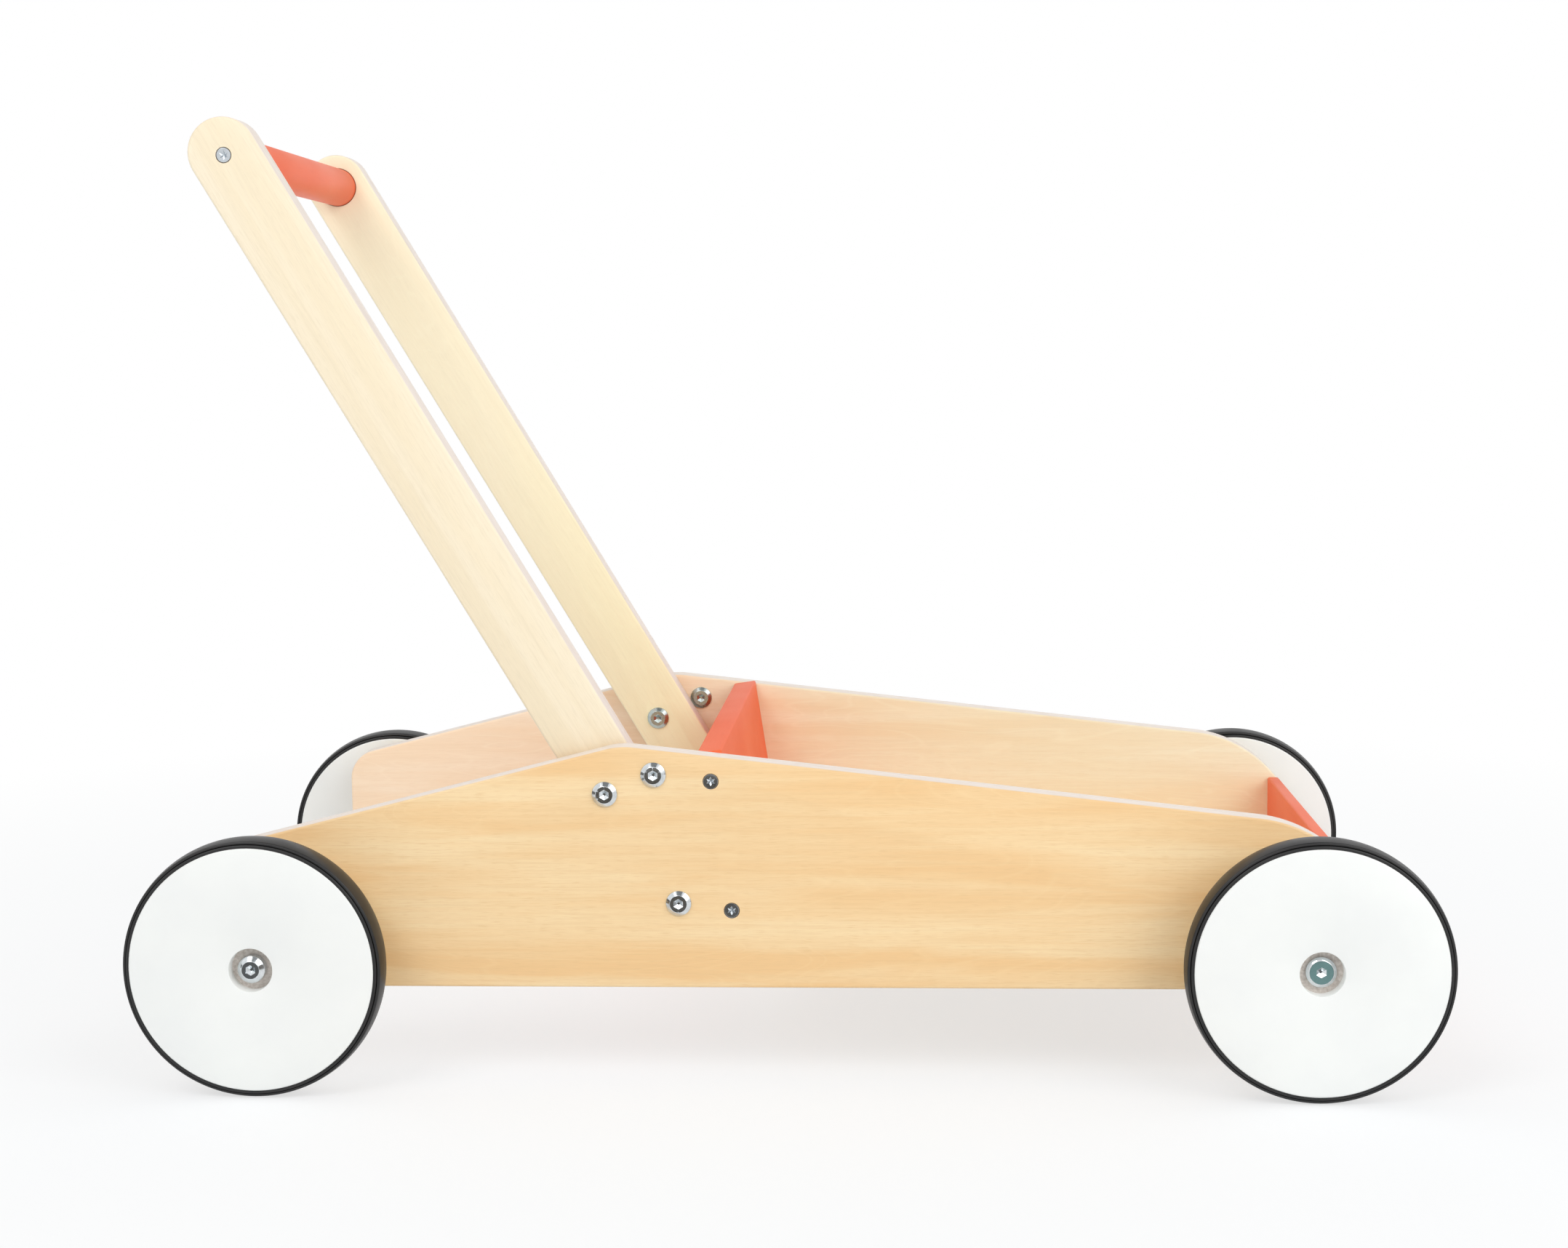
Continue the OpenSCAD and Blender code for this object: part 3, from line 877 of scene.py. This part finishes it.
# Bushes, spacers and washers
# Moulded nylon: a flanged bush in each wheel, a tube that holds each wheel off its panel, and a
# thin washer between each arm and its panel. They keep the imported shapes.
milky_nylon = mottled(
    "milky_nylon", tones=(screen_colour(232, 232, 228), screen_colour(222, 222, 217)),
    fade=(0.35, 0.7), cloud=80, skin=1200, rough=(0.40, 0.50),
)
for node_name in ("wheel_spacers", "arm_spacers"):
    repaint(node_name, milky_nylon)
for wheel in discs:
    repaint(wheel + "_wheel_bush", milky_nylon)

# Handle arms
# Two straight arms of pale plywood, fourteen millimetres thick, with full round ends. They lean
# to the rear and turn on the pivot bolts near their lower ends.
arm_inner_y = 0.0994
arm_outer_y = 0.1134
arm_width = 0.0324
arm_lean = 30.7
arm_reach = 0.4015
arm_edge_round = 0.0013
arm_end_segments = 14
arm_end_gap = 1e-5
arm_end_merge = 0.0001
arm_pivot_hole = 0.00405
arm_lock_hole = 0.0031
bar_reach = 0.400
bar_seat_r = 0.0104
bar_seat_depth = 0.002
arm_thickness = arm_outer_y - arm_inner_y
arm_middle = from_pivot(arm_reach / 2, arm_lean)
arm_left = add_block(
    "arm_left", (arm_middle[0], (arm_inner_y + arm_outer_y) / 2, arm_middle[1]),
    (arm_width, arm_thickness, arm_reach + arm_width), math.radians(arm_lean),
)
arm_end_round = arm_width / 2 - arm_end_gap
round_edges(
    arm_left, lambda a, b: abs(a.y - b.y) > arm_thickness / 2, arm_end_round, arm_end_segments
)
open_mesh(arm_left)
bpy.ops.mesh.select_all(action="SELECT")
bpy.ops.mesh.remove_doubles(threshold=arm_end_merge)
close_mesh()
round_edges(arm_left, lies_in_side_face((arm_inner_y, arm_outer_y)), arm_edge_round, edge_segments)
bar_at = from_pivot(bar_reach, arm_lean)
past_inner = arm_inner_y - drill_over
past_outer = arm_outer_y + drill_over
drill(arm_left, pivot_at, arm_pivot_hole, past_inner, past_outer)
drill(arm_left, lock_at, arm_lock_hole, past_inner, past_outer)
drill(arm_left, bar_at, bar_seat_r, past_inner, arm_inner_y + bar_seat_depth)
drill(arm_left, bar_at, screw_pocket, arm_outer_y - screw_pocket_depth, past_outer)
smooth(arm_left)
arm_left.data.materials.append(birch_plywood(
    "arm_birch", pale=screen_colour(248, 234, 208), dark=screen_colour(243, 227, 197),
    # Inner tints: painted light that brightens the arm's inner face, with one tint at its top and
    # another at its lower end, against the shade that falls there.
    inner_tone_and_painted_light=((1.06, 1.10, 1.08, 1.0), (1.09, 1.15, 1.00, 1.0)), tone_and_light_fade=(-0.17, -0.07),
    grain_turn=math.radians(arm_lean + 90), ply=0.00127, bands=(3.0, 24, 70), figure=(0.05, 0.16),
))
arm_right = copy_piece(arm_left, "arm_right", mirrored=True)
for arm, side in ((arm_left, "left"), (arm_right, "right")):
    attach(arm, "handle")
    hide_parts(side + "_handle_arm")

# Handle bar
# A round wooden bar painted orange, between the tops of the arms. Its ends are eased and sit in
# shallow sockets in the arms, and a screw through each arm holds it.
bar_r = 0.010
bar_sides = 96
bar_gloss = 0.5
bar_end_round = 0.0006
bar_end_y = arm_inner_y + bar_seat_depth
bar = add_rod("bar", bar_at, bar_r, -bar_end_y, bar_end_y, bar_sides)
round_edges(bar, lies_in_side_face((-bar_end_y, bar_end_y)), bar_end_round, edge_segments)
smooth(bar)
bar.data.materials.append(orange_paint("bar_orange", bar_gloss))
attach(bar, "handle")
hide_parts("handle_bar")

bar_screws = on_both_sides([wood_screw("bar_screw", bar_at, arm_outer_y)], "screws_handle_bar")
level_flats(bar_screws)
bar_screws.data.materials.append(screw_zinc)
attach(bar_screws, "handle")
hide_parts("handle_bar_screws")

# Connector bolts
# Furniture connectors of bright zinc-plated steel: a sleeve nut with a bevelled head outside the
# panel, and a bolt with a like head inside. They make the pivots, the locks and the spares, and
# like bolts from inside hold the axles. The zinc of the bolts inside is made darker, as painted
# shade for the tray that their heads face.
head_r = 0.0059
head_h = 0.0022
head_rim_h = 0.0006
head_ease = 0.00015
sleeve_flat_r = 0.0040
bolt_flat_r = 0.0041
spare_head_h = 0.002
pivot_bore = 0.020
pivot_play = 0.0003
pivot_shank = 0.016
short_play = 0.0003
short_bore = 0.0100
lock_shank = 0.014
spare_shank = 0.009
axle_shank = 0.016
connector_zinc = zinc("connector_zinc", screen_colour(218, 223, 226), rough=(0.08, 0.16))
# Painted shade: the bolts inside get a darker, greener zinc than the sleeve nuts, for the shaded tray
# that their heads face.
bolt_zinc_painted_shade = zinc("bolt_zinc_painted_shade", screen_colour(188, 197, 194), rough=(0.21, 0.29))


def sleeve_nut(name, place, end_y, bore_y):
    """A sleeve nut through the panel from outside, bored from its inner end."""
    top = panel_outer_y + head_h
    nut = turned(name, [
        (0, bore_y), (thread_r, bore_y), (thread_r, end_y), (barrel_r, end_y),
        (barrel_r, panel_outer_y), (head_r, panel_outer_y), (head_r, panel_outer_y + head_rim_h),
        (sleeve_flat_r, top), (0, top),
    ], place)
    ease_edges(nut, head_ease)
    hex_socket(nut, place, top, -1)
    smooth(nut, metal_crease)
    return nut


def short_sleeve(name, place):
    """A sleeve nut that ends inside the panel."""
    return sleeve_nut(name, place, panel_inner_y + short_play, panel_inner_y + short_bore)


def inside_bolt(name, place, face_y, shank, height=head_h):
    """A bolt from inside, its head on the face at face_y and its shank pointing outward."""
    top = face_y - height
    bolt = turned(name, [
        (0, top), (bolt_flat_r, top), (head_r, face_y - head_rim_h), (head_r, face_y),
        (thread_r, face_y), (thread_r, face_y + shank), (0, face_y + shank),
    ], place)
    ease_edges(bolt, head_ease)
    hex_socket(bolt, place, top, 1)
    smooth(bolt, metal_crease)
    return bolt


pivot_sleeve = sleeve_nut("pivot_sleeve", pivot_at, arm_inner_y, arm_inner_y + pivot_bore)
pivot_bolt = inside_bolt("pivot_bolt", pivot_at, arm_inner_y - pivot_play, pivot_shank)
lock_sleeve = short_sleeve("lock_sleeve", lock_at)
lock_bolt = inside_bolt("lock_bolt", lock_at, arm_inner_y, lock_shank)
spare_sleeve = short_sleeve("spare_sleeve", spare_at)
spare_bolt = inside_bolt("spare_bolt", spare_at, panel_inner_y, spare_shank, spare_head_h)
for piece, node_name, body, plating in (
    (pivot_sleeve, "pivot_sleeve_nuts", "chassis", connector_zinc),
    (pivot_bolt, "pivot_bolts", "chassis", bolt_zinc_painted_shade),
    (lock_sleeve, "lock_sleeve_nuts", "chassis", connector_zinc),
    (lock_bolt, "lock_bolts", "handle", bolt_zinc_painted_shade),
    (spare_sleeve, "spare_sleeve_nuts", "chassis", connector_zinc),
    (spare_bolt, "spare_bolts", "chassis", bolt_zinc_painted_shade),
):
    pair = on_both_sides([piece], piece.name + "_pair")
    level_flats(pair)
    pair.data.materials.append(plating)
    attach(pair, body)
    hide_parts(node_name)

axle_nuts = [
    inside_bolt("axle_nut", (end * axle_x, axle_z), panel_inner_y, axle_shank) for end in (-1, 1)
]
axle_nut_set = on_both_sides(axle_nuts, "axle_nut_set")
level_flats(axle_nut_set)
axle_nut_set.data.materials.append(bolt_zinc_painted_shade)
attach(axle_nut_set, "chassis")
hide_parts("axle_nuts")

# Studio
# A pale floor, a white surround, three large soft lamps, and dark cards that only glossy surfaces
# mirror: small ones beside the bolt heads and past the two ends, and a grey one overhead. The
# camera stands where the photograph was taken from.
floor_size = 14.0
floor_white = (0.92, 0.95, 0.97, 1.0)
glow_from = 0.34
glow_to = 0.95
glow_least = 0.66
world_light = 0.55
lamps = {
    "key_lamp": {"place": (-1.0, -1.6, 1.9), "size": 1.2, "watts": 18.6, "mirrored": True},
    "fill_lamp": {"place": (1.5, -1.4, 1.3), "size": 1.6, "watts": 20.0, "mirrored": True},
    "back_lamp": {"place": (0.2, 2.3, 0.55), "size": 1.0, "watts": 15.0, "mirrored": False},
}
look_at = Vector((0.0, 0.0, 0.15))
card_grey = 0.28
card_dark = 0.13
lying = (0, 0, 0)
facing_side = (math.pi / 2, 0, 0)
facing_end = (math.pi / 2, 0, math.pi / 2)
cards = [{"place": (0.0, 0.0, 1.6), "turn": lying, "size": (1.0, 2.6), "shade": card_grey}]
for side in (-1, 1):
    for end in (-1, 1):
        hub_at = (end * 0.27, side * 0.28, 0.035)
        cards.append({"place": hub_at, "turn": facing_side, "size": (0.12, 0.07), "shade": card_dark})
        past_at = (end * 0.9, side * 0.26, 0.12)
        cards.append({"place": past_at, "turn": facing_end, "size": (0.26, 0.20), "shade": card_dark})
    bolts_at = (-0.07, side * 0.28, 0.075)
    cards.append({"place": bolts_at, "turn": facing_side, "size": (0.11, 0.11), "shade": card_dark})
camera_place = (0.0623, -1.1876, 0.3354)
camera_yaw = math.radians(-3.2642)
camera_pitch = math.radians(6.5560)
camera_roll = math.radians(0.6303)
camera_sensor = 36.0
camera_lens = 54.063


def seen_directly(tree):
    """One where the camera looks, straight or by a mirror or through glass, or else zero."""
    path = add_node(tree, "ShaderNodeLightPath", {})
    seen = sums(tree, "MAXIMUM", path.outputs["Is Camera Ray"], path.outputs["Is Glossy Ray"])
    return sums(tree, "MAXIMUM", seen, path.outputs["Is Transmission Ray"])


bpy.ops.object.select_all(action="DESELECT")
bpy.ops.mesh.primitive_plane_add(size=floor_size, location=(0, 0, 0))
floor = bpy.context.object
floor.name = "studio_floor"
floor_finish, floor_tree, floor_shader = new_finish("studio_floor")
floor_tree.nodes.remove(floor_shader)
from_middle = add_node(floor_tree, "ShaderNodeVectorMath", {0: places(floor_tree)}, operation="LENGTH")
matt = add_node(floor_tree, "ShaderNodeBsdfDiffuse", {"Color": floor_white})
glow = add_node(floor_tree, "ShaderNodeEmission", {"Color": (1, 1, 1, 1), "Strength": 1.0})
edge_share = spread(floor_tree, from_middle.outputs["Value"], glow_from, glow_to, glow_least, 1.0)
glow_share = sums(floor_tree, "MULTIPLY", edge_share, seen_directly(floor_tree))
floor_mix = add_node(
    floor_tree, "ShaderNodeMixShader", {0: glow_share, 1: matt.outputs[0], 2: glow.outputs[0]}
)
floor_tree.links.new(floor_mix.outputs[0], floor_tree.nodes["Material Output"].inputs["Surface"])
floor.data.materials.append(floor_finish)

card_finishes = {}
for shade in (card_grey, card_dark):
    card_finishes[shade], card_tree, card_shader = new_finish("studio_card")
    card_shader.inputs["Base Color"].default_value = (shade, shade, shade, 1.0)
for planned in cards:
    bpy.ops.mesh.primitive_plane_add(size=1.0, location=planned["place"], rotation=planned["turn"])
    card = bpy.context.object
    card.name = "studio_card"
    card.scale = (*planned["size"], 1.0)
    card.data.materials.append(card_finishes[planned["shade"]])
    card.visible_camera = False
    card.visible_diffuse = False
    card.visible_shadow = False

world = bpy.data.worlds.new("studio")
bpy.context.scene.world = world
world.use_nodes = True
background = world.node_tree.nodes["Background"]
strength = spread(world.node_tree, seen_directly(world.node_tree), 0.0, 1.0, world_light, 1.0)
world.node_tree.links.new(strength, background.inputs["Strength"])
background.inputs["Color"].default_value = (1, 1, 1, 1)

for name, lamp in lamps.items():
    bpy.ops.object.light_add(type="AREA", location=lamp["place"])
    light = bpy.context.object
    light.name = name
    light.data.size = lamp["size"]
    light.data.energy = lamp["watts"]
    light.visible_glossy = lamp["mirrored"]
    light.rotation_euler = (look_at - Vector(lamp["place"])).to_track_quat("-Z", "Y").to_euler()

bpy.ops.object.camera_add(location=camera_place)
camera = bpy.context.object
camera.data.sensor_fit = "HORIZONTAL"
camera.data.sensor_width = camera_sensor
camera.data.lens = camera_lens
heading = Matrix.Rotation(-camera_yaw, 3, "Z") @ Matrix.Rotation(math.pi / 2 - camera_pitch, 3, "X")
camera.rotation_euler = (heading @ Matrix.Rotation(-camera_roll, 3, "Z")).to_euler()
bpy.context.scene.camera = camera
bpy.context.scene.view_settings.view_transform = "Standard"
